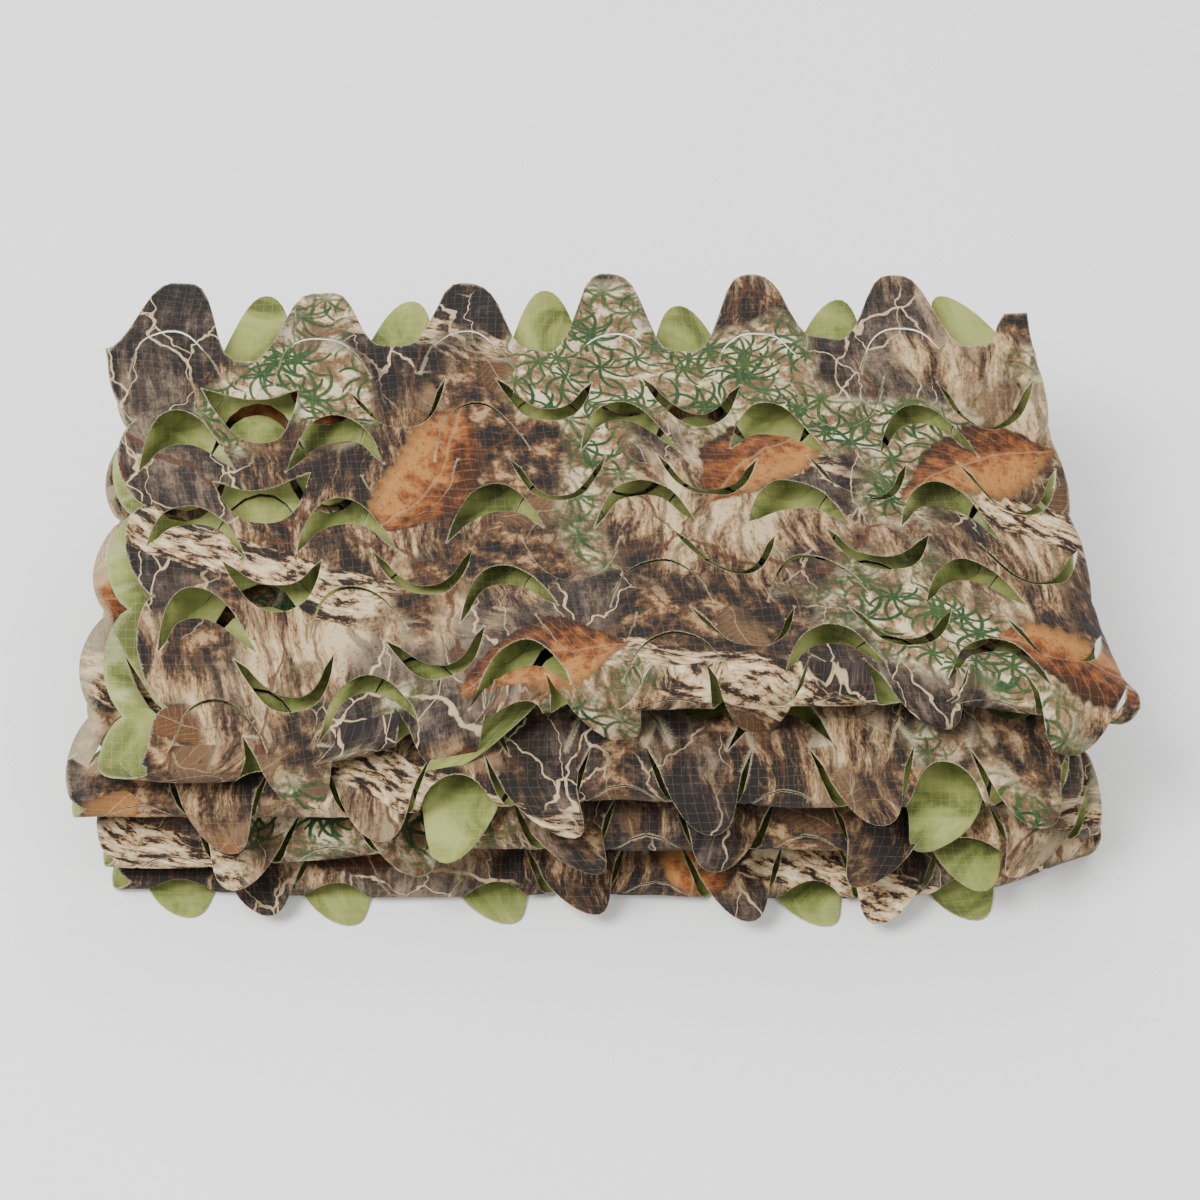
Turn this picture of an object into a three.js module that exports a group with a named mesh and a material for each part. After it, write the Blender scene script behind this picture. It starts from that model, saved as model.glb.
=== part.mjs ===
import * as THREE from 'three';

// A length of leaf-cut camouflage cloth, folded back and forth into a flat bundle.
// Millimetres. X runs along the folds, the front folds face -Y, Z is up and the floor is z = 0.
// The cloth is drawn flat first, u across it and s along it, with its leaf cuts as holes.
// Then every point of the flat drawing is carried onto the folded layers.

const clothWidth = 464;
const clothThickness = 1.5;
const layerCount = 8;
const leafPitch = 36.5;
const layerLength = 260;
const clothLength = layerLength * layerCount;

const leafHalfWidth = 24;
const leafHeight = 31;
const foldLeafHeight = 42;
const leafHinge = 24;
const foldLeafHinge = 28;
const leafFlare = 0.22;
const leafRoundness = 0.75;
const leafInset = 0.78;
const leafSteps = 6;
const firstLeaf = -198;
const firstRow = 9;
const topRowPitch = 52.5;
const closedCut = 3.8;
const endLobe = 26;
const endMargin = 10;
const endSteps = 64;
const leafCurl = 0.0055;
const leafSag = 4;
const gridRoom = 0.3;
const sideRoom = 0.5;
const endRoom = 6;

const endBend = 13;
const middleSag = 0.12;
const hangStart = 222;
const hangRadius = 20;
const hangAngle = 1.2;
const hangFade = 90;
const backLine = 118;
const frontLine = -116;
const gridStep = { top: 21, inner: 38, fold: 27 };

// Unevenness of the folds and of the gaps: height of each wave, and its length over two pi.
const foldWave = { height: 2.2, along: 33 };
const foldDrift = { height: 1.6, along: 77 };
const gapRipple = { height: 0.14, along: 41 };
const gapDrift = { height: 0.1, along: 60, across: 27 };
const lowestRipple = 0.4;

// Changes that grow along the folds from a start over a span: falls of the stack's height, as a
// share of it, and set-backs of the front folds.
const rightFall = { depth: 0.2, start: 120, span: 140 };
const leftFall = { depth: 0.3, start: 60, span: 260 };
const lowSetBack = { depth: 24, start: 165, span: 85 };
const topSetBack = { depth: 26, start: -220, span: 250 };

// One row a layer, top to bottom. shiftBack and shiftFront move the layer along X at its two ends.
// reachBack and reachFront move its ends along Y. gapBack and gapFront are the room below it.
const layers = [
  { shiftBack: -12, shiftFront: 17, reachBack: 4, reachFront: 13, gapBack: 15, gapFront: 19 },
  { shiftBack: -9, shiftFront: 8, reachBack: 16, reachFront: 13, gapBack: 17, gapFront: 14 },
  { shiftBack: -11, shiftFront: -9, reachBack: 16, reachFront: -2, gapBack: 13, gapFront: 18 },
  { shiftBack: -3, shiftFront: -7, reachBack: 1, reachFront: -3, gapBack: 17, gapFront: 14 },
  { shiftBack: 2, shiftFront: 3, reachBack: -2, reachFront: -8, gapBack: 14, gapFront: 17 },
  { shiftBack: 5, shiftFront: 5, reachBack: 3, reachFront: -10, gapBack: 17, gapFront: 14 },
  { shiftBack: -2, shiftFront: 8, reachBack: 6, reachFront: -13, gapBack: 16, gapFront: 17 },
  { shiftBack: 3, shiftFront: 6, reachBack: 2, reachFront: -13, gapBack: 0, gapFront: 0 },
];

// How wide each leaf of the top layer stands open, one row a line of leaves from the back.
const topLeaves = [
  { row: 0, open: [14, 0, 10, 0, 8, 0, 14, 0, 12, 0, 8, 0] },
  { row: 1, open: [15, 17, 9, 6, 0, 12, 10, 13, 15, 0, 10, 12] },
  { row: 2, open: [8, 16, 13, 0, 14, 6, 6, 8, 17, 6, 8, 15] },
  { row: 3, open: [10, 12, 0, 12, 9, 0, 0, 6, 0, 14, 9, 15] },
  { row: 4, open: [0, 10, 6, 13, 12, 0, 0, 7, 7, 8, 8, 8] },
];

// Each fold: the cloth on either side that goes into its loop, how far the loop stands out for its
// height, and the places along it where a leaf sticks out. The top fold is a wide loose roll.
const folds = [
  { fold: 1, bend: 24, bulge: 2, places: [1, 3, 4, 5, 6, 7, 9, 10] },
  { fold: 2, bend: 13, bulge: 0.8, places: [0, 1, 3, 4, 5, 7, 8, 9, 11] },
  { fold: 3, bend: 13, bulge: 0.8, places: [0, 3, 4, 5, 6, 8, 9, 10, 11] },
  { fold: 4, bend: 13, bulge: 0.8, places: [1, 2, 4, 5, 8, 10] },
  { fold: 5, bend: 13, bulge: 0.8, places: [2, 5, 6, 7, 9, 10] },
  { fold: 6, bend: 13, bulge: 0.8, places: [0, 3, 5, 7, 10] },
  { fold: 7, bend: 13, bulge: 0.8, places: [1, 2, 3, 5, 6, 8, 9, 10] },
];

const mix = (a, b, t) => a + (b - a) * t;
const clamp01 = (t) => Math.min(1, Math.max(0, t));
const smooth = (t) => clamp01(t) ** 2 * (3 - 2 * clamp01(t));
const wave = (t, phase) => Math.sin(t + 1.7 * phase);

// Height of a layer above the floor: the sum of the gaps under it, uneven from place to place.
function layerHeight(index, u, y) {
  let height = clothThickness / 2;
  const toFront = clamp01((backLine - y) / (backLine - frontLine));
  for (let i = layers.length - 2; i >= index; i -= 1) {
    const gap = mix(layers[i].gapBack, layers[i].gapFront, toFront);
    const sag = middleSag * Math.sin(Math.PI * toFront);
    const drift = gapDrift.height * wave(y / gapDrift.across + u / gapDrift.along, 3 * i);
    const ripple = gapRipple.height * wave(u / gapRipple.along, i) + drift;
    height += gap * (1 - sag + ripple * (i < layers.length - 2 ? 1 : lowestRipple));
  }
  return clothThickness / 2 + (height - clothThickness / 2) * edgeFall(u, toFront);
}

// The stack is lower at its two front corners.
function edgeFall(u, toFront) {
  const frontRight = smooth(toFront + 0.1) * smooth((u - rightFall.start) / rightFall.span);
  const frontLeft = smooth((toFront - 0.45) / 0.6) * smooth((leftFall.start - u) / leftFall.span);
  return 1 - rightFall.depth * frontRight - leftFall.depth * frontLeft;
}

// Place along Y of a layer's end, wavy. The top front fold is set back but at its left end, and
// the lower ones at their right end.
function endLine(index, u, atFront) {
  const layer = layers[index];
  const drift = foldDrift.height * wave(u / foldDrift.along, index);
  const waves = foldWave.height * wave(u / foldWave.along, index + 2) + drift;
  if (!atFront) return backLine + layer.reachBack + waves;
  const { depth, start, span } = index < 2 ? topSetBack : lowSetBack;
  const share = index < 2 ? 1 : clamp01((index - 1) / 5);
  return frontLine + layer.reachFront + waves + depth * share * smooth((u - start) / span);
}

const isFrontFold = (fold) => fold % 2 === 1;

// Both layers of a fold share one line along Y.
function foldLine(fold, u) {
  const atFront = isFrontFold(fold);
  return (endLine(fold - 1, u, atFront) + endLine(fold, u, atFront)) / 2;
}

// Cloth on either side of a fold that goes into its loop. At the free ends it only sets the scale.
function bendOf(fold) {
  return folds[fold - 1]?.bend ?? endBend;
}

// A point of a layer's flat run. s may run past the end, as it does on a leaf that sticks out.
function runPoint(index, u, s) {
  const downward = index % 2 === 0;
  const start = index === 0 ? endLine(0, u, false) : foldLine(index, u);
  const end = index === layerCount - 1 ? endLine(index, u, false) : foldLine(index + 1, u);
  const run = layerLength - bendOf(index) - bendOf(index + 1);
  const t = (s - index * layerLength - bendOf(index)) / run;
  const y = mix(start, end, t);
  const toFront = downward ? t : 1 - t;
  const layer = layers[index];
  const shift = mix(layer.shiftBack, layer.shiftFront, clamp01(toFront));
  const past = Math.max(t - 1, -t, 0) * run;
  return { x: u + shift, y, z: layerHeight(index, u, y), past };
}

// A point of a fold's loop, a half turn between two runs.
function bendPoint(fold, u, s) {
  const { bend, bulge } = folds[fold - 1];
  const turn = ((s - fold * layerLength) / bend + 1) * Math.PI / 2;
  const before = runPoint(fold - 1, u, fold * layerLength - bend);
  const after = runPoint(fold, u, fold * layerLength + bend);
  const outward = isFrontFold(fold) ? -1 : 1;
  const half = (before.z - after.z) / 2;
  const blend = (1 - Math.cos(turn)) / 2;
  return {
    x: mix(before.x, after.x, blend),
    y: foldLine(fold, u) + outward * half * bulge * Math.sin(turn),
    z: mix(before.z, after.z, blend),
    past: 0,
  };
}

// The top layer's right edge hangs down over the stack, less and less towards its front fold.
function hangOver(point, s) {
  const past = point.x - hangStart;
  if (s > layerLength || past < 0) return;
  const angle = Math.min(past / hangRadius, hangAngle) * smooth((layerLength - s) / hangFade);
  if (angle < 1e-6) return;
  const radius = past / angle;
  point.x = hangStart + radius * Math.sin(angle);
  point.z -= radius * (1 - Math.cos(angle));
}

// A leaf past its fold droops at the front and lifts at the back. Other leaves sag at their tips.
function bendLeaf(point, s, leaf) {
  if (leaf.fold) point.z += (isFrontFold(leaf.fold) ? -leafCurl : leafCurl) * point.past ** 2;
  else point.z -= (leafSag * Math.abs(s - leaf.hinge)) / leafHeight;
  point.z = Math.max(point.z, clothThickness / 2);
}

// The folded place of a flat point, on the leaf that owns it or on the sheet.
function clothPoint(u, s, leaf) {
  const fold = Math.round(s / layerLength);
  const inBend = fold > 0 && fold < layerCount && Math.abs(s - fold * layerLength) < bendOf(fold);
  const layer = leaf ? leaf.layer : Math.min(layerCount - 1, Math.max(0, Math.floor(s / layerLength)));
  const point = inBend && !leaf ? bendPoint(fold, u, s) : runPoint(layer, u, s);
  if (leaf) bendLeaf(point, s, leaf);
  hangOver(point, s);
  return new THREE.Vector3(point.x, point.y, point.z);
}

// One leaf cut at a line along the cloth. side is 1 where its tip points along s and -1 where it
// points back.
function makeLeaf(place, line, open, fold) {
  const side = place % 2 === 0 ? -1 : 1;
  const height = fold ? foldLeafHeight : leafHeight;
  const hinge = line - side * (fold ? foldLeafHinge : leafHinge);
  const layer = fold ? fold - (side === 1 ? 1 : 0) : 0;
  const leaf = { u: firstLeaf + place * leafPitch, side, height, hinge, layer, fold };
  const curve = (reach, width) => Array.from({ length: leafSteps + 1 }, (_, i) => {
    const v = (2 * i) / leafSteps - 1;
    const turn = (Math.PI / 2) * v;
    const spread = (1 - leafFlare) * Math.sin(turn) * width + leafFlare * v ** 5;
    return [leaf.u + leafHalfWidth * spread, hinge + side * reach * Math.cos(turn) ** leafRoundness];
  });
  leaf.outer = curve(height, 1);
  leaf.inner = curve(height - open, leafInset);
  leaf.hole = [...leaf.outer, ...leaf.inner.slice(1, -1).reverse()];
  return leaf;
}

function makeLeaves() {
  const leaves = [];
  for (const { row, open } of topLeaves) {
    open.forEach((width, place) => {
      if (width > 0) leaves.push(makeLeaf(place, firstRow + row * topRowPitch, width, 0));
    });
  }
  for (const { fold, places } of folds) {
    for (const place of places) leaves.push(makeLeaf(place, fold * layerLength, closedCut, fold));
  }
  return leaves;
}

// The two ends of the cloth are cut through a line of leaves, which leaves a row of lobes.
const lobes = (u) => endLobe * Math.sin((Math.PI / 2) * Math.cos((Math.PI * (u - firstLeaf)) / leafPitch));
const firstEnd = (u) => -lobes(u) - endMargin;
const lastEnd = (u) => clothLength + lobes(u) + endMargin;

function contains(polygon, [u, s]) {
  let inside = false;
  polygon.forEach(([au, as], i) => {
    const [bu, bs] = polygon[(i + 1) % polygon.length];
    if (as > s !== bs > s && u < au + ((bu - au) * (s - as)) / (bs - as)) inside = !inside;
  });
  return inside;
}

const midpoint = ([au, as], [bu, bs]) => [(au + bu) / 2, (as + bs) / 2];

// The flat drawing's points: cut edges first, then the ends, then a loose grid where room is left.
function flatPoints(leaves) {
  const points = [];
  for (const leaf of leaves) {
    leaf.loop = leaf.hole.map((place, i) => {
      points.push({ place, leaf: i > leafSteps ? leaf : null, cut: leaf });
      return points.length - 1;
    });
  }
  const cuts = leaves.flatMap(({ hole }) => hole.flatMap((place, i) => (
    [place, midpoint(place, hole[(i + 1) % hole.length])]
  )));
  const isFree = (place, room) => (
    cuts.every(([u, s]) => Math.hypot(u - place[0], s - place[1]) > room)
    && !leaves.some((leaf) => contains(leaf.hole, place))
  );
  for (let u = -clothWidth / 2; u <= clothWidth / 2 + 1; u += clothWidth / endSteps) {
    points.push({ place: [u, firstEnd(u)] }, { place: [u, lastEnd(u)] });
  }
  for (const { s, step, shifted } of gridRows()) {
    const count = Math.round(clothWidth / step);
    for (let i = 0; i <= count + (shifted ? 1 : 0); i += 1) {
      const along = shifted ? clamp01((i - 0.5) / count) : i / count;
      const place = [(along - 0.5) * clothWidth, s];
      const atSide = along === 0 || along === 1;
      if (s < firstEnd(place[0]) + endRoom || s > lastEnd(place[0]) - endRoom) continue;
      if (isFree(place, atSide ? sideRoom : step * gridRoom)) {
        const leaf = leaves.find((item) => contains(item.inner, place));
        if (!leaf || !leaf.fold) points.push({ place, leaf });
      }
    }
  }
  return points;
}

// Rows of the grid: even ones along each run, and closer ones round each fold.
function gridRows() {
  const rows = [];
  for (let layer = 0; layer < layerCount; layer += 1) {
    const step = layer === 0 ? gridStep.top : gridStep.inner;
    const start = layer * layerLength + bendOf(layer);
    const run = layerLength - bendOf(layer) - bendOf(layer + 1);
    const count = Math.round(run / step);
    for (let i = layer === 0 ? 0 : 1; i < count; i += 1) {
      const s = start + (run * i) / count;
      rows.push({ s, step, shifted: i % 2 === 1 });
    }
  }
  for (const { fold, bend } of folds) {
    for (let i = -2; i <= 2; i += 1) {
      rows.push({ s: fold * layerLength + (i * bend) / 2, step: gridStep.fold, shifted: i % 2 !== 0 });
    }
  }
  return rows;
}

function circleThrough(points, a, b, c) {
  const [au, as] = points[a];
  const [bu, bs] = [points[b][0] - au, points[b][1] - as];
  const [cu, cs] = [points[c][0] - au, points[c][1] - as];
  const area = 2 * (bu * cs - bs * cu);
  const u = (cs * (bu * bu + bs * bs) - bs * (cu * cu + cs * cs)) / area;
  const s = (bu * (cu * cu + cs * cs) - cu * (bu * bu + bs * bs)) / area;
  return { corners: [a, b, c], u: u + au, s: s + as, reach: u * u + s * s };
}

// Triangles between flat points such that no point lies inside another triangle's circle.
function triangulate(places) {
  const far = 1e5;
  const all = [...places, [-far, -far], [far, -far], [0, far]];
  const count = places.length;
  let triangles = [circleThrough(all, count, count + 1, count + 2)];
  places.forEach(([u, s], index) => {
    const rim = new Map();
    triangles = triangles.filter((triangle) => {
      if ((u - triangle.u) ** 2 + (s - triangle.s) ** 2 >= triangle.reach) return true;
      triangle.corners.forEach((a, i) => {
        const b = triangle.corners[(i + 1) % 3];
        if (!rim.delete(`${b},${a}`)) rim.set(`${a},${b}`, [a, b]);
      });
      return false;
    });
    for (const [a, b] of rim.values()) triangles.push(circleThrough(all, a, b, index));
  });
  return triangles.map((triangle) => triangle.corners).filter((corners) => Math.max(...corners) < count);
}

// Adds a point in the middle of every cut edge that the triangles cross, and says whether any was.
function splitCrossedCuts(points, leaves, triangles) {
  const edges = new Set(triangles.flatMap(([a, b, c]) => [`${a},${b}`, `${b},${c}`, `${c},${a}`]));
  const before = points.length;
  for (const leaf of leaves) {
    leaf.loop = leaf.loop.flatMap((a, i) => {
      const b = leaf.loop[(i + 1) % leaf.loop.length];
      if (edges.has(`${a},${b}`) || edges.has(`${b},${a}`)) return [a];
      const place = midpoint(points[a].place, points[b].place);
      points.push({ place, leaf: points[a].leaf ?? points[b].leaf, cut: leaf });
      return [a, points.length - 1];
    });
  }
  return points.length > before;
}

// The drawing's triangles, without those inside a cut or outside the lobed ends.
function flatTriangles(points, leaves) {
  let triangles = triangulate(points.map((point) => point.place));
  while (splitCrossedCuts(points, leaves, triangles)) {
    triangles = triangulate(points.map((point) => point.place));
  }
  return triangles.filter((corners) => {
    const u = corners.reduce((sum, i) => sum + points[i].place[0], 0) / 3;
    const s = corners.reduce((sum, i) => sum + points[i].place[1], 0) / 3;
    if (s < firstEnd(u) || s > lastEnd(u)) return false;
    const cut = points[corners[0]].cut;
    return !(cut && corners.every((i) => points[i].cut === cut) && contains(cut.hole, [u, s]));
  });
}

// Direction square to the cloth at a flat point, on its printed side.
function clothNormal([u, s], leaf) {
  const step = clothThickness / 3;
  const across = clothPoint(u + step, s, leaf).sub(clothPoint(u - step, s, leaf));
  const along = clothPoint(u, s + step, leaf).sub(clothPoint(u, s - step, leaf));
  return along.cross(across).normalize();
}

// The folded sheet with its thickness: printed face, plain face and the rim along every cut edge.
function makeCloth() {
  const leaves = makeLeaves();
  const points = flatPoints(leaves);
  const triangles = flatTriangles(points, leaves);
  const positions = [];
  const half = clothThickness / 2;
  for (const { place, leaf } of points) {
    const middle = clothPoint(place[0], place[1], leaf);
    const offset = clothNormal(place, leaf).multiplyScalar(half);
    const sides = [middle.clone().add(offset), middle.clone().sub(offset)];
    for (const side of sides) positions.push(side.x, side.y, Math.max(0, side.z));
  }
  const faces = [];
  const edges = new Set();
  for (const [a, b, c] of triangles) {
    faces.push(2 * a, 2 * c, 2 * b, 2 * a + 1, 2 * b + 1, 2 * c + 1);
    for (const [from, to] of [[a, b], [b, c], [c, a]]) edges.add(`${from},${to}`);
  }
  for (const edge of edges) {
    const [from, to] = edge.split(',').map(Number);
    if (edges.has(`${to},${from}`)) continue;
    faces.push(2 * from, 2 * to, 2 * to + 1, 2 * from, 2 * to + 1, 2 * from + 1);
  }
  const geometry = new THREE.BufferGeometry();
  geometry.setAttribute('position', new THREE.Float32BufferAttribute(positions, 3));
  geometry.setIndex(faces);
  geometry.computeVertexNormals();
  return geometry;
}

const clothMaterial = new THREE.MeshStandardMaterial({ color: 0x7d6f52, roughness: 0.85, metalness: 0 });
const cloth = new THREE.Mesh(makeCloth(), clothMaterial);
cloth.name = 'leaf_cloth';

// The origin is under the middle of the bundle.
cloth.geometry.computeBoundingBox();
const middle = cloth.geometry.boundingBox.getCenter(new THREE.Vector3());
cloth.position.set(-middle.x, -middle.y, 0);

const bundle = new THREE.Group();
bundle.add(cloth);

export default bundle;
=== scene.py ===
import math
import random

import bpy
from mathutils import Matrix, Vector, noise
from mathutils.geometry import delaunay_2d_cdt


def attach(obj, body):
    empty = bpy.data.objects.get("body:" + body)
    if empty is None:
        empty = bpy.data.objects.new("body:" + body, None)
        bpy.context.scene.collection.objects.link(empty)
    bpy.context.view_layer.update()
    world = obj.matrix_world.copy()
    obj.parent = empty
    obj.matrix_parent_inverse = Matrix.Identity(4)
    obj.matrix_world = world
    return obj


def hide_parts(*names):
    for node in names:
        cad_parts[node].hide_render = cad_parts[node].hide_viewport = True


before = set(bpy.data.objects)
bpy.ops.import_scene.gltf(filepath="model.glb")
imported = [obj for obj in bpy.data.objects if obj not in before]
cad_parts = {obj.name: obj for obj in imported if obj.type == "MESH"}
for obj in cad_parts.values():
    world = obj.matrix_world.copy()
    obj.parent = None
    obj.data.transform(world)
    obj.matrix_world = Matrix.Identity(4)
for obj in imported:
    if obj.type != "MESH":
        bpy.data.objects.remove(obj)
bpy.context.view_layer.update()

# Folded leaf-cut camouflage cloth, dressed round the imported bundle.
# The cloth is drawn flat in millimetres (u across it, s along it), then folded, then put in metres.

mm = 0.001
rng = random.Random(11)


# Camera.

camera = {
    "target": (0.001, 0.009, 0.035),
    "distance": 1.2,
    "elevation": 50.0,
    "lens": 72.4,
}


def makeCamera():
    lift = math.radians(camera["elevation"])
    back = Vector((0.0, -math.cos(lift), math.sin(lift)))
    data = bpy.data.cameras.new("bundleCamera")
    data.lens = camera["lens"]
    data.sensor_width = 36.0
    eye = bpy.data.objects.new("bundleCamera", data)
    eye.location = Vector(camera["target"]) + back * camera["distance"]
    eye.rotation_mode = "QUATERNION"
    eye.rotation_quaternion = (-back).to_track_quat("-Z", "Y")
    bpy.context.scene.collection.objects.link(eye)
    bpy.context.scene.camera = eye


makeCamera()
print("camera made")


# The folded stack.

cloth = {
    "width": 464, "thickness": 0.5, "layers": 8, "layerLength": 260, "leafPitch": 36.5,
    "firstLeaf": -198, "firstRow": 9, "topRowPitch": 52.5, "rowPitch": 52, "rows": 5, "endBend": 13,
    "middleSag": 0.12, "backLine": 118, "frontLine": -116, "bottom": 0.75, "leafPlaces": 12,
    "centre": (2.664, 10.305),
}

# One row a layer, top to bottom, as in the solid: shifts along X, reach along Y, room below.
layers = [
    {"shiftBack": -12, "shiftFront": 17, "reachBack": 4, "reachFront": 13, "gapBack": 15, "gapFront": 19},
    {"shiftBack": -9, "shiftFront": 8, "reachBack": 16, "reachFront": 13, "gapBack": 17, "gapFront": 14},
    {"shiftBack": -11, "shiftFront": -9, "reachBack": 16, "reachFront": -2, "gapBack": 13, "gapFront": 18},
    {"shiftBack": -3, "shiftFront": -7, "reachBack": 1, "reachFront": -3, "gapBack": 17, "gapFront": 14},
    {"shiftBack": 2, "shiftFront": 3, "reachBack": -2, "reachFront": -8, "gapBack": 14, "gapFront": 17},
    {"shiftBack": 5, "shiftFront": 5, "reachBack": 3, "reachFront": -10, "gapBack": 17, "gapFront": 14},
    {"shiftBack": -2, "shiftFront": 8, "reachBack": 6, "reachFront": -13, "gapBack": 16, "gapFront": 17},
    {"shiftBack": 3, "shiftFront": 6, "reachBack": 2, "reachFront": -13, "gapBack": 0, "gapFront": 0},
]

# Each fold: cloth on either side that goes into its loop, how far the loop stands out for its
# height, and the leaves that stick out there: radius that each bends down in (up if negative),
# how far its tip leans along X, and its height.
folds = {
    1: {"bend": 24, "bulge": 2.0, "out": {
        1: (24, 6, 42), 3: (18, 3, 45), 4: (34, -22, 42), 5: (16, 9, 46), 7: (14, 0, 47), 9: (20, 9, 40),
        11: (24, -5, 42)}},
    2: {"bend": 13, "bulge": 0.8, "out": {
        0: (60, 0, 42), 1: (-38, 2, 50), 3: (-60, 6, 47), 4: (60, 0, 42), 5: (-30, 0, 50), 7: (-55, -4, 46),
        8: (90, 0, 42), 9: (-34, 3, 50), 11: (-50, -14, 50)}},
    3: {"bend": 13, "bulge": 0.8, "out": {
        1: (32, 9, 44), 3: (28, 6, 42), 4: (44, -6, 46), 5: (24, 18, 46), 7: (22, 6, 46),
        9: (24, 10, 42), 10: (13, -9, 47), 11: (22, 12, 44)}},
    4: {"bend": 13, "bulge": 0.8, "out": {
        1: (-80, 4, 42), 2: (90, 0, 42), 4: (70, 6, 42), 5: (-90, 0, 42), 8: (60, 0, 42), 10: (80, -5, 42)}},
    5: {"bend": 13, "bulge": 0.8, "out": {
        1: (30, -8, 40), 3: (34, 10, 40), 5: (26, 20, 42), 7: (22, -7, 42), 9: (26, -14, 46), 10: (40, 9, 38),
        11: (30, -16, 44)}},
    6: {"bend": 13, "bulge": 0.8, "out": {
        0: (60, 0, 42), 3: (-90, 5, 42), 5: (-80, 0, 42), 7: (-90, -6, 42), 10: (60, 0, 42)}},
    7: {"bend": 13, "bulge": 0.8, "out": {
        0: (90, 12, 35), 1: (60, 9, 38), 2: (90, 14, 36), 4: (90, 16, 36), 5: (40, 12, 40), 7: (46, 8, 42),
        8: (90, 16, 36), 9: (40, -7, 44), 10: (90, 13, 36)}},
}

# Unevenness of folds and gaps, and the changes that grow along the folds.
uneven = {
    "foldWave": 2.2, "foldWaveAlong": 33, "foldDrift": 1.6, "foldDriftAlong": 77,
    "gapRipple": 0.14, "gapRippleAlong": 41, "gapDrift": 0.1, "gapDriftAlong": 60,
    "gapDriftAcross": 27, "lowestRipple": 0.4,
    "rightFall": 0.2, "rightFallStart": 120, "rightFallSpan": 140,
    "leftFall": 0.3, "leftFallStart": 60, "leftFallSpan": 260,
    "lowSetBack": 24, "lowSetBackStart": 165, "lowSetBackSpan": 85,
    "topSetBack": 26, "topSetBackStart": -220, "topSetBackSpan": 250,
    "hangStart": 222, "hangRadius": 20, "hangAngle": 1.2, "hangFade": 90, "gather": 15,
    "relief": 3.6, "reliefAlong": 36, "creases": 1.5, "creasesAlong": 13, "lowRelief": 0.5,
    "reliefFadeStart": 200, "reliefFadeSpan": 60,
}


def mix(a, b, t):
    return a + (b - a) * t


def clamp01(t):
    return min(1.0, max(0.0, t))


def smooth(t):
    t = clamp01(t)
    return t * t * (3 - 2 * t)


def wave(t, phase):
    return math.sin(t + 1.7 * phase)


def edgeFall(u, toFront):
    right = smooth(toFront + 0.1) * smooth((u - uneven["rightFallStart"]) / uneven["rightFallSpan"])
    left = smooth((toFront - 0.45) / 0.6) * smooth((uneven["leftFallStart"] - u) / uneven["leftFallSpan"])
    return 1 - uneven["rightFall"] * right - uneven["leftFall"] * left


def layerHeight(index, u, y):
    toFront = clamp01((cloth["backLine"] - y) / (cloth["backLine"] - cloth["frontLine"]))
    sag = cloth["middleSag"] * math.sin(math.pi * toFront)
    height = 0.0
    for i in range(len(layers) - 2, index - 1, -1):
        gap = mix(layers[i]["gapBack"], layers[i]["gapFront"], toFront)
        drift = uneven["gapDrift"] * wave(y / uneven["gapDriftAcross"] + u / uneven["gapDriftAlong"], 3 * i)
        ripple = uneven["gapRipple"] * wave(u / uneven["gapRippleAlong"], i) + drift
        height += gap * (1 - sag + ripple * (1 if i < len(layers) - 2 else uneven["lowestRipple"]))
    return cloth["bottom"] + height * edgeFall(u, toFront)


def endLine(index, u, atFront):
    layer = layers[index]
    drift = uneven["foldDrift"] * wave(u / uneven["foldDriftAlong"], index)
    waves = uneven["foldWave"] * wave(u / uneven["foldWaveAlong"], index + 2) + drift
    if not atFront:
        return cloth["backLine"] + layer["reachBack"] + waves
    kind, share = ("top", 1.0) if index < 2 else ("low", clamp01((index - 1) / 5))
    grown = smooth((u - uneven[kind + "SetBackStart"]) / uneven[kind + "SetBackSpan"])
    return cloth["frontLine"] + layer["reachFront"] + waves + uneven[kind + "SetBack"] * share * grown


def foldLine(fold, u):
    atFront = fold % 2 == 1
    return (endLine(fold - 1, u, atFront) + endLine(fold, u, atFront)) / 2


def bendOf(fold):
    return folds[fold]["bend"] if fold in folds else cloth["endBend"]


def runPoint(index, u, s):
    length = cloth["layerLength"]
    start = endLine(0, u, False) if index == 0 else foldLine(index, u)
    last = index == cloth["layers"] - 1
    end = endLine(index, u, False) if last else foldLine(index + 1, u)
    run = length - bendOf(index) - bendOf(index + 1)
    t = (s - index * length - bendOf(index)) / run
    toFront = t if index % 2 == 0 else 1 - t
    shift = mix(layers[index]["shiftBack"], layers[index]["shiftFront"], clamp01(toFront))
    if index == 0:
        shift += uneven["gather"] * clamp01(toFront) * clamp01(-u / cloth["width"] * 2)
    past = max(t - 1, -t, 0) * run
    y = mix(start, end, clamp01(t))
    outward = 1 if y > 0 else -1
    if (index == 0 and t < 0) or (last and t > 1):
        y += past
        past = 0
    return [u + shift, y, layerHeight(index, u, y), past, outward]


def bendPoint(fold, u, s):
    length, bend = cloth["layerLength"], folds[fold]["bend"]
    turn = ((s - fold * length) / bend + 1) * math.pi / 2
    before = runPoint(fold - 1, u, fold * length - bend)
    after = runPoint(fold, u, fold * length + bend)
    outward = -1 if fold % 2 == 1 else 1
    half = (before[2] - after[2]) / 2
    blend = (1 - math.cos(turn)) / 2
    y = foldLine(fold, u) + outward * half * folds[fold]["bulge"] * math.sin(turn)
    return [mix(before[0], after[0], blend), y, mix(before[2], after[2], blend), 0, outward]


# Loose swells and small creases of the cloth, most on the top layer.
def reliefAt(u, s):
    swell = uneven["relief"] * noise.noise(Vector((u, s * 1.3, 40.0)) / uneven["reliefAlong"])
    crease = uneven["creases"] * noise.noise(Vector((u, s, 90.0)) / uneven["creasesAlong"])
    fade = smooth((s - uneven["reliefFadeStart"]) / uneven["reliefFadeSpan"])
    return (swell + crease) * mix(1.0, uneven["lowRelief"], fade)


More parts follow.
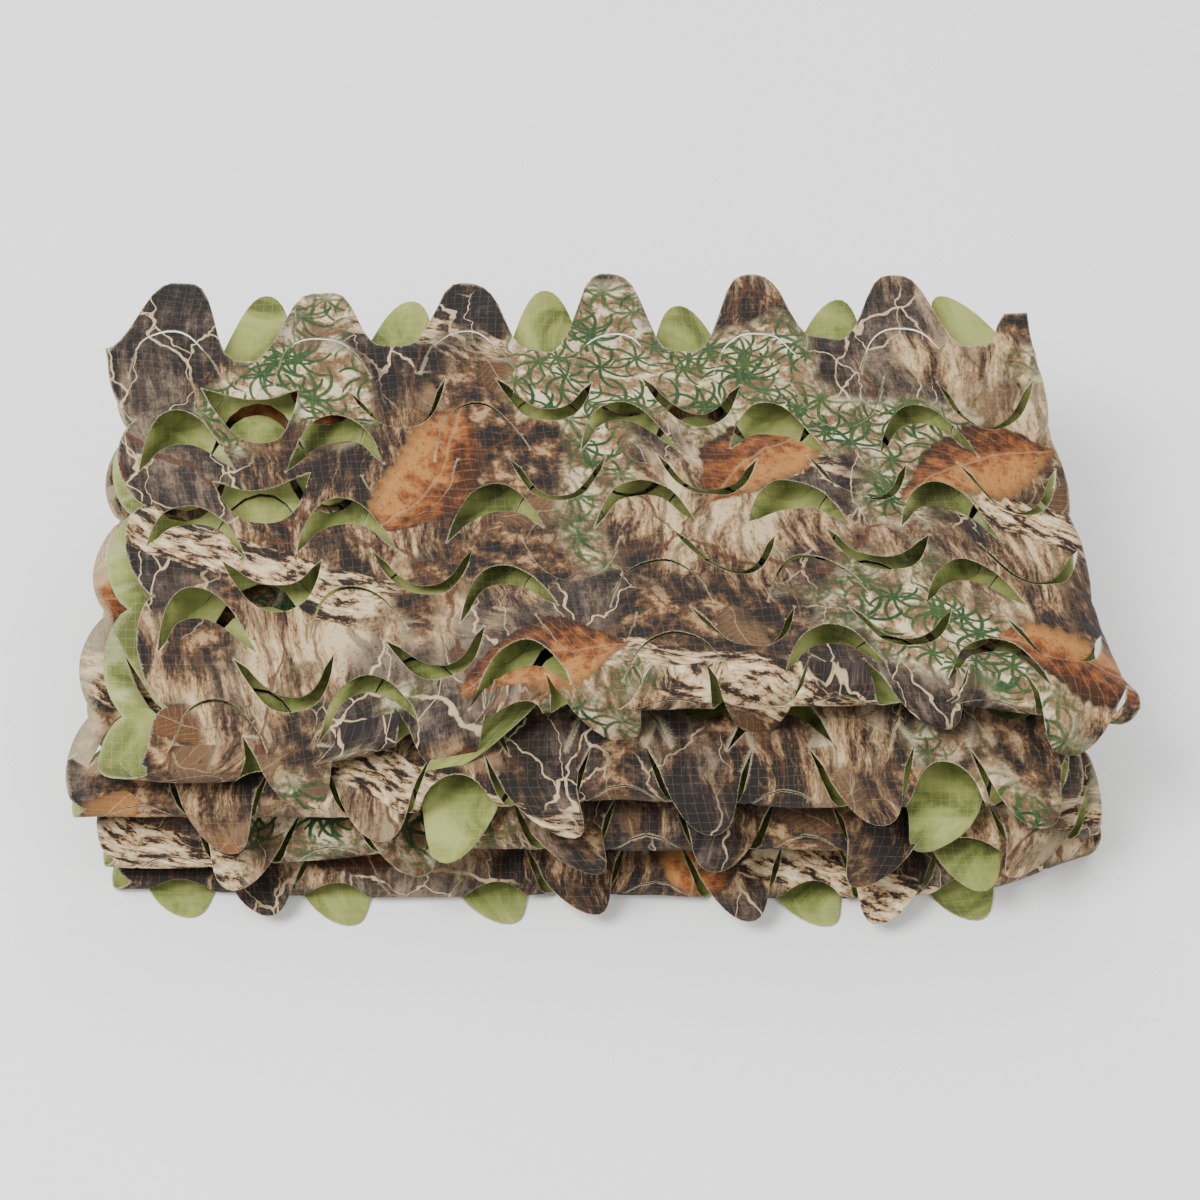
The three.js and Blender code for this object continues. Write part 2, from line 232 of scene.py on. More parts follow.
def hangOver(point, s):
    past = point[0] - uneven["hangStart"]
    if s > cloth["layerLength"] or past < 0:
        return
    fade = smooth((cloth["layerLength"] - s) / uneven["hangFade"])
    angle = min(past / uneven["hangRadius"], uneven["hangAngle"]) * fade
    if angle < 1e-6:
        return
    radius = past / angle
    point[0] = uneven["hangStart"] + radius * math.sin(angle)
    point[2] -= radius * (1 - math.cos(angle))


# The leaves.

leafCut = {
    "halfWidth": 24, "height": 31, "hinge": 24, "foldHinge": 28, "flare": 0.22, "roundness": 0.75,
    "inset": 0.86, "closed": 0.7, "closedInset": 0.985, "foldOpening": 2.6, "fray": 0.8, "frayRoom": 0.6,
    "topSteps": 16, "lowSteps": 8, "openFrom": 2, "lowOpening": (4, 11), "lowClosedShare": 0.6,
    "sag": (2.0, 8.0), "twist": (-3.2, 3.2), "curl": (-1.5, 4.0), "sagShape": 1.3, "fullSagOpening": 8,
    "leastSag": 0.2, "loose": 2.5, "foldLoose": 1.0, "foldTwist": 1.5, "leanFrom": 30, "leanShape": 1.5,
    "mostBend": 1.45, "lip": 4.2, "lipReach": 8, "lipShape": 0.7, "lipShare": (0.4, 1.0),
    "fullLipOpening": 9, "reachAside": 27,
}

# How wide each leaf of the top layer stands open, one row a line of leaves from the back.
topOpen = [
    [0, 0, 0, 0, 0, 0, 0, 0, 0, 0, 0, 0],
    [13, 26, 12, 5, 0, 13, 8, 12, 16, 0, 7, 9],
    [6, 25, 12, 0, 13, 5, 5, 9, 18, 5, 9, 8],
    [12, 19, 0, 11, 8, 0, 0, 7, 0, 16, 8, 9],
    [0, 12, 5, 13, 12, 0, 0, 5, 8, 9, 5, 6],
]


# One leaf cut at a line along the cloth. side is 1 where its tip points along s.
def makeLeaf(place, line, opening, fold, out):
    side = -1 if place % 2 == 0 else 1
    sticks = fold > 0 and out is not None
    height = out[2] if sticks else leafCut["height"]
    hinge = line - side * (leafCut["foldHinge"] if sticks else leafCut["hinge"])
    layer = fold - (1 if side == 1 else 0) if sticks else int(line // cloth["layerLength"])
    fine = line < cloth["layerLength"] * 1.1 or sticks
    steps = leafCut["topSteps"] if fine else leafCut["lowSteps"]
    inset = leafCut["inset"] if opening > leafCut["openFrom"] else leafCut["closedInset"]
    leastSag = 0.0 if line < cloth["topRowPitch"] / 2 else leafCut["leastSag"]
    eased = 1.0 if sticks else clamp01(opening / leafCut["fullSagOpening"] + leastSag)
    leaf = {
        "u": cloth["firstLeaf"] + place * cloth["leafPitch"], "side": side, "height": height,
        "hinge": hinge, "layer": layer, "fold": fold if sticks else 0, "out": out or (1, 0, 0),
        "sag": rng.uniform(*leafCut["sag"]) * eased, "twist": rng.uniform(*leafCut["twist"]) * eased,
        "curl": rng.uniform(*leafCut["curl"]) * eased, "moves": sticks or fold == 0,
        "lip": rng.uniform(*leafCut["lipShare"]) * min(1.0, opening / leafCut["fullLipOpening"]),
    }
    loose = leafCut["foldLoose" if sticks else "loose"]
    skew, tilt = rng.uniform(-loose, loose), rng.uniform(-loose, loose)

    def curve(reach, width, grow):
        points = []
        for i in range(steps + 1):
            v = 2 * i / steps - 1
            turn = math.pi / 2 * v
            spread = (1 - leafCut["flare"]) * math.sin(turn) * width + leafCut["flare"] * v ** 5
            rise = max(0.0, math.cos(turn)) ** leafCut["roundness"]
            aside = leafCut["halfWidth"] * spread + grow * math.sin(turn) + skew * rise
            along = side * (reach * rise + grow * math.cos(turn)) + tilt * v
            points.append((leaf["u"] + aside, hinge + along))
        return points

    leaf["outer"] = curve(height, 1.0, 0)
    leaf["inner"] = curve(height - opening, inset, 0)
    leaf["outerFray"] = curve(height, 1.0, leafCut["fray"])[2:-2]
    leaf["innerFray"] = curve(height - opening, inset, -leafCut["fray"])[2:-2]
    leaf["hole"] = leaf["outer"] + leaf["inner"][1:-1][::-1]
    return leaf


def makeLeaves():
    made = []
    for row, openings in enumerate(topOpen):
        for place, opening in enumerate(openings):
            if row > 0 or place % 2 == 0:
                line = cloth["firstRow"] + row * cloth["topRowPitch"]
                made.append(makeLeaf(place, line, opening or leafCut["closed"], 0, None))
    for fold, loop in folds.items():
        for place in range(cloth["leafPlaces"]):
            out = loop["out"].get(place)
            opening = leafCut["closed" if out is None else "foldOpening"]
            made.append(makeLeaf(place, fold * cloth["layerLength"], opening, fold, out))
    for layer in range(1, cloth["layers"]):
        for row in range(1, cloth["rows"]):
            for place in range(cloth["leafPlaces"]):
                isClosed = rng.random() < leafCut["lowClosedShare"]
                opening = leafCut["closed"] if isClosed else rng.uniform(*leafCut["lowOpening"])
                line = layer * cloth["layerLength"] + row * cloth["rowPitch"]
                made.append(makeLeaf(place, line, opening, 0, None))
    return made


# The flat drawing.

ends = {
    "lobe": 25, "lobeDrift": 0.2, "driftAlong": (19, 43), "margin": 10, "step": 4.0,
    "cornerStart": 210, "cornerSpan": 12,
}
sides = {
    "step": 2.5, "bite": {-1: 11, 1: 4}, "biteShape": 0.62, "biteShift": 4, "plainEnd": 18,
    "fade": 12, "topShare": 0.96,
}
grid = {
    "top": 4.2, "fold": 6.5, "low": 15.0, "topStop": 20, "nearFold": 34, "inLoop": 0.62, "loopMargin": 3,
    "rowShare": 0.87, "mostRoom": 4.0, "overrun": 40, "cell": 8, "band": 52, "longestEdge": 45,
}


# Height of the lobes at the two cut ends, uneven and fading out at the right corner.
def lobes(u):
    drift = math.sin(u / ends["driftAlong"][0] + 1) * math.cos(u / ends["driftAlong"][1])
    tall = 1 + ends["lobeDrift"] * drift - smooth((u - ends["cornerStart"]) / ends["cornerSpan"])
    turn = math.pi * (u - cloth["firstLeaf"]) / cloth["leafPitch"]
    return tall * ends["lobe"] * math.sin(math.pi / 2 * math.cos(turn))


def firstEnd(u):
    return -lobes(u) - ends["margin"]


def lastEnd(u):
    return cloth["layerLength"] * cloth["layers"] + lobes(u) + ends["margin"]


# The side edges are cut through the lines of leaves too, which leaves shallow scallops.
def sideEdge(s, side):
    onTop = s < cloth["layerLength"] * sides["topShare"]
    pitch = cloth["topRowPitch"] if onTop else cloth["rowPitch"]
    line = cloth["firstRow"] if onTop else cloth["layerLength"]
    turn = math.pi * (s - line - side * sides["biteShift"]) / pitch
    last = cloth["layerLength"] * cloth["layers"]
    fadeIn = smooth((s - sides["plainEnd"]) / sides["fade"])
    fadeOut = smooth((last - sides["plainEnd"] - s) / sides["fade"])
    deep = sides["bite"][side] * fadeIn * fadeOut
    return cloth["width"] / 2 - deep * (1 - abs(math.sin(turn)) ** sides["biteShape"])


def contains(polygon, u, s):
    inside = False
    for (au, a), (bu, b) in zip(polygon, polygon[1:] + polygon[:1]):
        if (a > s) != (b > s) and u < au + (bu - au) * (s - a) / (b - a):
            inside = not inside
    return inside


def isInside(u, s, room):
    return abs(u) < sideEdge(s, 1 if u > 0 else -1) - room


def isShort(a, b, c):
    return max((a - b).length, (b - c).length, (c - a).length) < grid["longestEdge"]


class FlatCloth:
    def __init__(self, leaves):
        self.leaves = leaves
        self.places, self.owners, self.frays, self.edges = [], [], [], []
        self.taken = {}
        self.byRow = {}
        for leaf in leaves:
            tip = leaf["hinge"] + leaf["side"] * leaf["height"]
            low, high = min(leaf["hinge"], tip), max(leaf["hinge"], tip)
            for band in range(int(low // grid["band"]) - 1, int(high // grid["band"]) + 2):
                self.byRow.setdefault(band, []).append(leaf)

    def add(self, u, s, owner, fray):
        self.places.append((u, s))
        self.owners.append(owner)
        self.frays.append(fray)
        self.taken.setdefault(self.cellOf(u, s), []).append((u, s))
        return len(self.places) - 1

    def cellOf(self, u, s):
        return int(u // grid["cell"]), int(s // grid["cell"])

    def isFree(self, u, s, room):
        cu, cs = self.cellOf(u, s)
        for i in (-1, 0, 1):
            for j in (-1, 0, 1):
                for pu, ps in self.taken.get((cu + i, cs + j), ()):
                    if (pu - u) ** 2 + (ps - s) ** 2 < room * room:
                        return False
        return True

    def near(self, u, s):
        return [leaf for leaf in self.byRow.get(int(s // grid["band"]), ())
                if abs(u - leaf["u"]) < leafCut["reachAside"]]

    def leafAt(self, u, s):
        return next((leaf for leaf in self.near(u, s) if contains(leaf["inner"], u, s)), None)

    def inHole(self, u, s):
        return any(contains(leaf["hole"], u, s) for leaf in self.near(u, s))

    def loop(self, indices):
        self.edges += list(zip(indices, indices[1:] + indices[:1]))


def drawFlat():
    leaves = makeLeaves()
    flat = FlatCloth(leaves)
    for leaf in leaves:
        outer = [flat.add(u, s, None, 1.0) for u, s in leaf["outer"]]
        inner = [flat.add(u, s, leaf if leaf["moves"] else None, 1.0) for u, s in leaf["inner"][1:-1]]
        flat.loop(outer + inner[::-1])
    half = cloth["width"] / 2
    count = round(cloth["width"] / ends["step"])
    across = [-half + cloth["width"] * i / count for i in range(count + 1)]
    total = cloth["layerLength"] * cloth["layers"]
    sideCount = round(total / sides["step"])
    steps = [total * i / sideCount for i in range(sideCount + 1)]
    rows = {side: [s for s in steps if firstEnd(side * half) + 1.5 < s < lastEnd(side * half) - 1.5]
            for side in (-1, 1)}
    rim = [flat.add(u, firstEnd(u), None, 1.0) for u in across]
    rim += [flat.add(sideEdge(s, 1), s, None, 1.0) for s in rows[1]]
    rim += [flat.add(u, lastEnd(u), None, 1.0) for u in reversed(across)]
    rim += [flat.add(-sideEdge(s, -1), s, None, 1.0) for s in reversed(rows[-1])]
    flat.loop(rim)
    for leaf in leaves:
        for u, s in leaf["outerFray"]:
            if flat.isFree(u, s, leafCut["frayRoom"]) and not flat.inHole(u, s) and isInside(u, s, 0.5):
                flat.add(u, s, None, 0.0)
        for u, s in leaf["innerFray"]:
            if flat.isFree(u, s, leafCut["frayRoom"]) and not flat.inHole(u, s):
                flat.add(u, s, leaf if leaf["moves"] else None, 0.0)
    fillGrid(flat, half, total)
    return flat


# Rows of loose points where no cut is near: close on the top layer and in the folds, wide elsewhere.
def gridStep(s):
    fold = round(s / cloth["layerLength"])
    away = abs(s - fold * cloth["layerLength"])
    if s < cloth["layerLength"] - grid["topStop"]:
        return grid["top"]
    if away < grid["nearFold"] and 0 < fold < cloth["layers"]:
        return grid["fold"] * (grid["inLoop"] if away < bendOf(fold) + grid["loopMargin"] else 1.0)
    return grid["low"]


def fillGrid(flat, half, total):
    s = firstEnd(cloth["firstLeaf"])
    row = 0
    while s < total + grid["overrun"]:
        step = gridStep(s)
        u = -half + (step / 2 if row % 2 else 0.0)
        while u <= half:
            if firstEnd(u) + step * 0.5 < s < lastEnd(u) - step * 0.5 and isInside(u, s, 1.0):
                if flat.isFree(u, s, min(step * 0.5, grid["mostRoom"])) and not flat.inHole(u, s):
                    leaf = flat.leafAt(u, s)
                    flat.add(u, s, leaf if leaf and leaf["moves"] else None, 0.0)
            u += step
        s += step * grid["rowShare"]
        row += 1


# The sheet stands up a little along the upper edge of each open leaf.
def lipLift(flat, u, s):
    lift = 0.0
    for leaf in flat.near(u, s):
        aside = (u - leaf["u"]) / leafCut["halfWidth"]
        if leaf["moves"] and not leaf["fold"] and abs(aside) < 1:
            bow = leaf["height"] * math.cos(math.pi / 2 * aside) ** leafCut["lipShape"]
            away = (leaf["side"] * (s - leaf["hinge"]) - bow) / leafCut["lipReach"]
            lift += leafCut["lip"] * leaf["lip"] * math.exp(-away * away) * math.cos(math.pi / 2 * aside)
    return lift


# A leaf past its fold bends down or up in a curve. Other leaves sag, twist and curl at their tips.
def bendLeaf(point, leaf, u, s):
    aside = (u - leaf["u"]) / leafCut["halfWidth"]
    if leaf["fold"]:
        bend, lean, _ = leaf["out"]
        past, outward = point[3], point[4]
        radius = abs(bend)
        angle = min(past / radius, leafCut["mostBend"])
        rest = past - angle * radius
        sign = 1 if bend > 0 else -1
        point[0] += lean * (past / leafCut["leanFrom"]) ** leafCut["leanShape"]
        point[1] += outward * (radius * math.sin(angle) + rest * math.cos(angle))
        point[2] -= sign * (radius * (1 - math.cos(angle)) + rest * math.sin(angle))
        point[2] += leaf["twist"] * leafCut["foldTwist"] * aside * (past / leafCut["leanFrom"])
    else:
        along = abs(s - leaf["hinge"]) / leaf["height"]
        rise = leaf["twist"] * aside + leaf["curl"] * aside ** 2
        point[2] += rise * along - leaf["sag"] * along ** leafCut["sagShape"]


def clothPoint(flat, index):
    u, s = flat.places[index]
    leaf = flat.owners[index]
    length = cloth["layerLength"]
    fold = round(s / length)
    if leaf:
        point = runPoint(leaf["layer"], u, s)
        bendLeaf(point, leaf, u, s)
    elif fold in folds and abs(s - fold * length) < bendOf(fold):
        point = bendPoint(fold, u, s)
    else:
        layer = min(cloth["layers"] - 1, max(0, int(s // length)))
        point = runPoint(layer, u, s)
        if layer == 0:
            point[2] += lipLift(flat, u, s)
    point[2] += reliefAt(u, s)
    hangOver(point, s)
    point[2] = max(point[2], cloth["thickness"] / 2 + 0.05)
    return Vector((point[0] - cloth["centre"][0], point[1] - cloth["centre"][1], point[2])) * mm


def makeCloth():
    flat = drawFlat()
    print("flat drawing:", len(flat.places), "points", len(flat.leaves), "leaves")
    verts, _, faces, origVerts, *_ = delaunay_2d_cdt(
        [Vector(place) for place in flat.places], flat.edges, [], 0, 1e-5)
    print("triangulated:", len(verts), "points", len(faces), "faces")
    kept = []
    for face in faces:
        u = sum(verts[i].x for i in face) / 3
        s = sum(verts[i].y for i in face) / 3
        within = firstEnd(u) - 0.3 < s < lastEnd(u) + 0.3 and isInside(u, s, -0.05)  # rim points count
        if within and isShort(*(verts[i] for i in face)) and not flat.inHole(u, s):
            kept.append(face)
    source = [group[0] if group else None for group in origVerts]
    assert None not in source, "the flat drawing crosses itself"
    points = [clothPoint(flat, i) for i in source]
    used = sorted({i for face in kept for i in face})
    order = {old: new for new, old in enumerate(used)}
    mesh = bpy.data.meshes.new("LeafCloth")
    mesh.from_pydata([points[i] for i in used], [], [[order[i] for i in reversed(face)] for face in kept])
    for name, kind in (("flatPlace", "FLOAT_VECTOR"), ("fray", "FLOAT")):
        mesh.attributes.new(name, kind, "POINT")
    for new, old in enumerate(used):
        u, s = flat.places[source[old]]
        mesh.attributes["flatPlace"].data[new].vector = (u, s, 0.0)
        mesh.attributes["fray"].data[new].value = flat.frays[source[old]]
    print("cloth folded:", len(used), "points", len(kept), "faces")
    return mesh


def wrapCloth(mesh):
    piece = bpy.data.objects.new("LeafCloth", mesh)
    bpy.context.scene.collection.objects.link(piece)
    shell = piece.modifiers.new("shell", "SOLIDIFY")
    shell.thickness = cloth["thickness"] * mm
    shell.offset = 0.0
    shell.material_offset = 1
    shell.material_offset_rim = 2
    return piece


leafCloth = wrapCloth(makeCloth())


# Materials.

def node(tree, kind, **settings):
    made = tree.nodes.new(kind)
    for name, value in settings.items():
        setattr(made, name, value)
    return made


def feed(tree, value, socket):
    if isinstance(value, bpy.types.NodeSocket):
        tree.links.new(value, socket)
    else:
        socket.default_value = value


def maths(tree, operation, a, b=0.0, c=0.0, clamp=False):
    made = node(tree, "ShaderNodeMath", operation=operation, use_clamp=clamp)
    for value, socket in zip((a, b, c), made.inputs):
        feed(tree, value, socket)
    return made.outputs[0]


def vectors(tree, operation, a, b=(0.0, 0.0, 0.0)):
    made = node(tree, "ShaderNodeVectorMath", operation=operation)
    feed(tree, a, made.inputs[0])
    feed(tree, b, made.inputs[1])
    return made.outputs["Value" if operation in ("LENGTH", "DISTANCE", "DOT_PRODUCT") else "Vector"]


def blendColours(tree, share, a, b, kind="MIX"):
    made = node(tree, "ShaderNodeMix", data_type="RGBA", blend_type=kind)
    feed(tree, share, made.inputs["Factor"])
    feed(tree, a, made.inputs[6])
    feed(tree, b, made.inputs[7])
    return made.outputs[2]


def ramp(tree, value, stops, colours=False):
    made = node(tree, "ShaderNodeValToRGB")
    elements = made.color_ramp.elements
    while len(elements) < len(stops):
        elements.new(0.5)
    for element, (at, tone) in zip(elements, stops):
        element.position = at
        element.color = (*tone, 1.0) if colours else (tone, tone, tone, 1.0)
    feed(tree, value, made.inputs[0])
    return made.outputs[0]


def noiseAt(tree, place, scale, detail=2.0, rough=0.5, distortion=0.0, seed=0.0):
    made = node(tree, "ShaderNodeTexNoise", noise_dimensions="2D")
    away = (17.3 * seed / scale, 9.1 * seed / scale, 0.0)  # each seed reads another part of the noise
    feed(tree, vectors(tree, "ADD", place, away), made.inputs["Vector"])
    made.inputs["Scale"].default_value = scale
    made.inputs["Detail"].default_value = detail
    made.inputs["Roughness"].default_value = rough
    made.inputs["Distortion"].default_value = distortion
    return made


def newGroup(name, inputs, outputs):
    tree = bpy.data.node_groups.new(name, "ShaderNodeTree")
    for label, kind, value in inputs:
        socket = tree.interface.new_socket(label, in_out="INPUT", socket_type=kind)
        if value is not None:
            socket.default_value = value
    for label, kind in outputs:
        tree.interface.new_socket(label, in_out="OUTPUT", socket_type=kind)
    return tree, tree.nodes.new("NodeGroupInput").outputs, tree.nodes.new("NodeGroupOutput").inputs


def useGroup(tree, group, **values):
    made = node(tree, "ShaderNodeGroup", node_tree=group)
    for name, value in values.items():
        feed(tree, value, made.inputs[name])
    return made.outputs


def rgb(code):
    parts = [int(code[i:i + 2], 16) / 255 for i in (0, 2, 4)]
    return tuple(p / 12.92 if p < 0.04 else ((p + 0.055) / 1.055) ** 2.4 for p in parts)


# Thin paler threads of the ripstop, square to each other.
def makeRipstop():
    tree, into, out = newGroup("ripstopGrid", [
        ("Place", "NodeSocketVector", None), ("Pitch", "NodeSocketFloat", 4.3),
        ("Thread", "NodeSocketFloat", 0.055)], [("Mask", "NodeSocketFloat")])
    wobble = noiseAt(tree, into["Place"], 0.05, 1.0).outputs["Color"]
    bent = vectors(tree, "ADD", into["Place"], wobble)
    parts = node(tree, "ShaderNodeSeparateXYZ")
    feed(tree, bent, parts.inputs[0])
    lines = []
    for axis in (0, 1):
        turns = maths(tree, "DIVIDE", parts.outputs[axis], into["Pitch"])
        away = maths(tree, "ABSOLUTE", maths(tree, "SUBTRACT", maths(tree, "FRACT", turns), 0.5))
        near = maths(tree, "DIVIDE", away, into["Thread"])
        lines.append(maths(tree, "SUBTRACT", 1.0, near, clamp=True))
    both = maths(tree, "MAXIMUM", lines[0], lines[1])
    broken = noiseAt(tree, into["Place"], 0.4, 2.0, seed=3.0).outputs[0]
    strength = maths(tree, "MULTIPLY_ADD", broken, 1.6, -0.25, clamp=True)
    feed(tree, maths(tree, "MULTIPLY", both, strength), out["Mask"])
    return tree


# Leaves that lie one to a cell: outline, veins and a tone of their own.
def makeLeafShapes():
    tree, into, out = newGroup("leafShapes", [
        ("Place", "NodeSocketVector", None), ("Cell", "NodeSocketFloat", 60.0),
        ("Length", "NodeSocketFloat", 0.62), ("Width", "NodeSocketFloat", 0.24),
        ("Share", "NodeSocketFloat", 0.5)],
        [("Mask", "NodeSocketFloat"), ("Tone", "NodeSocketFloat"), ("Veins", "NodeSocketFloat"),
         ("Shade", "NodeSocketFloat"), ("Rim", "NodeSocketFloat")])
    scaled = vectors(tree, "DIVIDE", into["Place"], combined(tree, into["Cell"], into["Cell"], 1.0))
    flatPlaceOnly = vectors(tree, "MULTIPLY", scaled, (1.0, 1.0, 0.0))
    cells = node(tree, "ShaderNodeTexVoronoi", voronoi_dimensions="2D", feature="F1")
    cells.inputs["Scale"].default_value = 1.0
    cells.inputs["Randomness"].default_value = 0.75
    feed(tree, flatPlaceOnly, cells.inputs["Vector"])
    tones = node(tree, "ShaderNodeSeparateColor")
    feed(tree, cells.outputs["Color"], tones.inputs[0])
    local = vectors(tree, "SUBTRACT", flatPlaceOnly, cells.outputs["Position"])
    turned = node(tree, "ShaderNodeVectorRotate", rotation_type="Z_AXIS")
    feed(tree, local, turned.inputs["Vector"])
    feed(tree, maths(tree, "MULTIPLY", tones.outputs[0], math.tau), turned.inputs["Angle"])
    parts = node(tree, "ShaderNodeSeparateXYZ")
    feed(tree, turned.outputs[0], parts.inputs[0])
    along, across = parts.outputs[0], parts.outputs[1]
    bend = maths(tree, "MULTIPLY", maths(tree, "MULTIPLY", along, along), 0.35)
    across = maths(tree, "ADD", across, bend)
    run = maths(tree, "DIVIDE", along, into["Length"])
    belly = maths(tree, "SUBTRACT", 1.0, maths(tree, "MULTIPLY", run, run))
    skewed = maths(tree, "MULTIPLY", belly, maths(tree, "MULTIPLY_ADD", run, -0.45, 1.0))
    toothed = maths(tree, "MULTIPLY_ADD", maths(tree, "SINE", maths(tree, "MULTIPLY", run, 46.0)), 0.035, 1.0)
    reach = maths(tree, "MULTIPLY", maths(tree, "MULTIPLY", skewed, toothed), into["Width"])
    side = maths(tree, "ABSOLUTE", across)
    inset = maths(tree, "SUBTRACT", reach, side)
    shown = maths(tree, "LESS_THAN", tones.outputs[1], into["Share"])
    mask = maths(tree, "MULTIPLY", maths(tree, "MULTIPLY", inset, 60.0, clamp=True), shown, clamp=True)
    feed(tree, mask, out["Mask"])
    feed(tree, tones.outputs[2], out["Tone"])
    ribPlace = maths(tree, "MULTIPLY", run, 22.0)
    ribs = maths(tree, "ABSOLUTE", maths(tree, "SINE", maths(tree, "SUBTRACT", ribPlace,
                                                          maths(tree, "MULTIPLY", side, 30.0))))
    thinRibs = maths(tree, "SUBTRACT", 1.0, maths(tree, "MULTIPLY", ribs, 4.5), clamp=True)
    midRib = maths(tree, "SUBTRACT", 1.0, maths(tree, "MULTIPLY", side, 90.0), clamp=True)
    feed(tree, maths(tree, "MAXIMUM", maths(tree, "MULTIPLY", thinRibs, 0.6), midRib), out["Veins"])
    feed(tree, maths(tree, "MULTIPLY_ADD", across, 2.2, 0.5, clamp=True), out["Shade"])
    feed(tree, maths(tree, "SUBTRACT", 1.0, maths(tree, "MULTIPLY", inset, 16.0), clamp=True), out["Rim"])
    return tree


# Twigs: the walls between warped cells, drawn as thin lines.
def makeTwigs():
    tree, into, out = newGroup("twigLines", [
        ("Place", "NodeSocketVector", None), ("Cell", "NodeSocketFloat", 45.0),
        ("Width", "NodeSocketFloat", 0.02), ("Seed", "NodeSocketFloat", 0.0)], [("Mask", "NodeSocketFloat")])
    scaled = vectors(tree, "DIVIDE", into["Place"], combined(tree, into["Cell"], into["Cell"], 1.0))
    shifted = vectors(tree, "ADD", scaled, combined(tree, into["Seed"], into["Seed"], 0.0))
    warp = noiseAt(tree, shifted, 1.6, 3.0).outputs["Color"]
    bent = vectors(tree, "ADD", shifted, vectors(tree, "MULTIPLY", warp, (0.55, 0.55, 0.0)))
    flatBent = vectors(tree, "MULTIPLY", bent, (1.0, 0.45, 0.0))
    cells = node(tree, "ShaderNodeTexVoronoi", voronoi_dimensions="2D", feature="DISTANCE_TO_EDGE")
    cells.inputs["Scale"].default_value = 1.0
    feed(tree, flatBent, cells.inputs["Vector"])
    away = maths(tree, "DIVIDE", cells.outputs["Distance"], into["Width"])
    line = maths(tree, "SUBTRACT", 1.0, away, clamp=True)
    feed(tree, maths(tree, "MULTIPLY", line, 2.5, clamp=True), out["Mask"])
    return tree


# Tufts of narrow blades that fan out from the middle of each cell.
def makeTufts():
    tree, into, out = newGroup("bladeTufts", [
        ("Place", "NodeSocketVector", None), ("Cell", "NodeSocketFloat", 34.0),
        ("Blades", "NodeSocketFloat", 11.0), ("Seed", "NodeSocketFloat", 0.0)],
        [("Mask", "NodeSocketFloat"), ("Tone", "NodeSocketFloat")])
    scaled = vectors(tree, "DIVIDE", into["Place"], combined(tree, into["Cell"], into["Cell"], 1.0))
    shifted = vectors(tree, "ADD", scaled, combined(tree, into["Seed"], into["Seed"], 0.0))
    flatOnly = vectors(tree, "MULTIPLY", shifted, (1.0, 1.0, 0.0))
    cells = node(tree, "ShaderNodeTexVoronoi", voronoi_dimensions="2D", feature="F1")
    cells.inputs["Scale"].default_value = 1.0
    feed(tree, flatOnly, cells.inputs["Vector"])
    tones = node(tree, "ShaderNodeSeparateColor")
    feed(tree, cells.outputs["Color"], tones.inputs[0])
    local = vectors(tree, "SUBTRACT", flatOnly, cells.outputs["Position"])
    parts = node(tree, "ShaderNodeSeparateXYZ")
    feed(tree, local, parts.inputs[0])
    reach = vectors(tree, "LENGTH", local)
    lean = maths(tree, "MULTIPLY", maths(tree, "MULTIPLY", reach, reach), 1.8)
    angle = maths(tree, "ADD", maths(tree, "ARCTAN2", parts.outputs[1], parts.outputs[0]),
                  maths(tree, "MULTIPLY_ADD", tones.outputs[0], 3.0, lean))
    spokes = maths(tree, "MULTIPLY", angle, maths(tree, "DIVIDE", into["Blades"], math.tau))
    away = maths(tree, "ABSOLUTE", maths(tree, "SUBTRACT", maths(tree, "FRACT", spokes), 0.5))
    wide = maths(tree, "MULTIPLY", away, maths(tree, "MULTIPLY", reach, 3.4))
    blade = maths(tree, "SUBTRACT", 1.0, maths(tree, "MULTIPLY", wide, 6.0), clamp=True)
    ended = maths(tree, "MULTIPLY", maths(tree, "SUBTRACT", 0.62, reach), 12.0, clamp=True)
    feed(tree, maths(tree, "MULTIPLY", maths(tree, "MULTIPLY", blade, 2.2, clamp=True), ended), out["Mask"])
    feed(tree, tones.outputs[2], out["Tone"])
    return tree


def combined(tree, x, y, z):
    made = node(tree, "ShaderNodeCombineXYZ")
    for value, socket in zip((x, y, z), made.inputs):
        feed(tree, value, socket)
    return made.outputs[0]


# The woodland print: bark, limbs, fallen leaves, twigs and tufts of green blades.
woodland = {
    "charcoal": rgb("1f1916"), "darkBark": rgb("402e21"), "midBark": rgb("6f553b"),
    "tan": rgb("9d7f5b"), "pale": rgb("bda781"), "cream": rgb("d8caa6"), "stem": rgb("4a2c1c"),
    "rust": rgb("7a441f"), "rustDark": rgb("3d2010"), "ochre": rgb("a06d3a"),
    "leafBrown": rgb("62452b"), "green": rgb("143a20"), "moss": rgb("47592a"),
}


# How much of a zone of the print is at each place: wide soft patches of noise.
def printZone(tree, spot, scale, level, seed):
    patches = noiseAt(tree, spot, scale, 2.5, 0.55, 0.0, seed).outputs[0]
    return maths(tree, "MULTIPLY_ADD", patches, 13.0, -13.0 * level, clamp=True)


def stretchedNoise(tree, place, stretch, detail, rough, distortion, seed):
    stretched = vectors(tree, "MULTIPLY", place, stretch)
    return noiseAt(tree, stretched, 1.0, detail, rough, distortion, seed).outputs[0]


